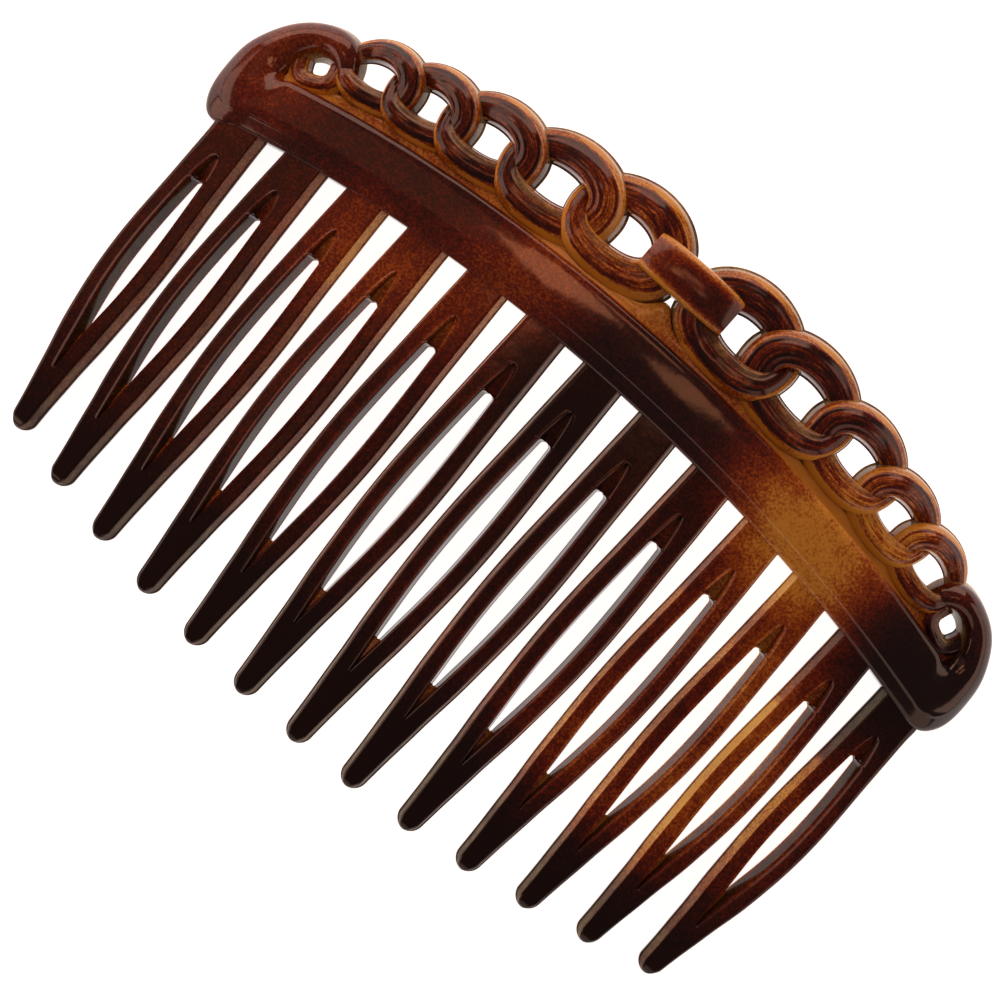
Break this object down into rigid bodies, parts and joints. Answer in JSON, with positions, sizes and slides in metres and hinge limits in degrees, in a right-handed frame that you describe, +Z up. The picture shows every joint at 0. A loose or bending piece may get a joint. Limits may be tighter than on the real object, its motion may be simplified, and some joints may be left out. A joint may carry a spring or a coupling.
{
  "type": "hair comb",
  "caption": "Curved tortoiseshell side comb with needle-eye teeth below an arched spine bar and an openwork curb-chain crest; slides into hair to hold it",
  "frame": {"origin": "Under the middle of the comb, on the surface that it lies on with its decorative face up.", "axes": "+X along the spine bar, +Y from the tooth tips to the chain crest, +Z up out of the decorative face."},
  "size_m": [0.1082, 0.0726, 0.016],
  "materials": {
    "bar_plastic": "polished translucent tortoiseshell, amber clouds in dark brown",
    "tooth_plastic": "polished translucent tortoiseshell, nearly black towards the tips",
    "chain_plastic": "polished translucent tortoiseshell with lighter amber rims"
  },
  "bodies": {
    "root": {"spine_bar": "bar_plastic", "tooth_01": "tooth_plastic", "tooth_02": "tooth_plastic", "tooth_03": "tooth_plastic", "tooth_04": "tooth_plastic", "tooth_05": "tooth_plastic", "tooth_06": "tooth_plastic", "tooth_07": "tooth_plastic", "tooth_08": "tooth_plastic", "tooth_09": "tooth_plastic", "tooth_10": "tooth_plastic", "tooth_11": "tooth_plastic", "tooth_12": "tooth_plastic", "tooth_13": "tooth_plastic", "link_right_1": "chain_plastic", "link_right_2": "chain_plastic", "link_right_3": "chain_plastic", "link_right_4": "chain_plastic", "link_right_5": "chain_plastic", "link_left_1": "chain_plastic", "link_left_2": "chain_plastic", "link_left_3": "chain_plastic", "link_left_4": "chain_plastic", "link_left_5": "chain_plastic", "link_middle": "chain_plastic"}
  },
  "joints": []
}
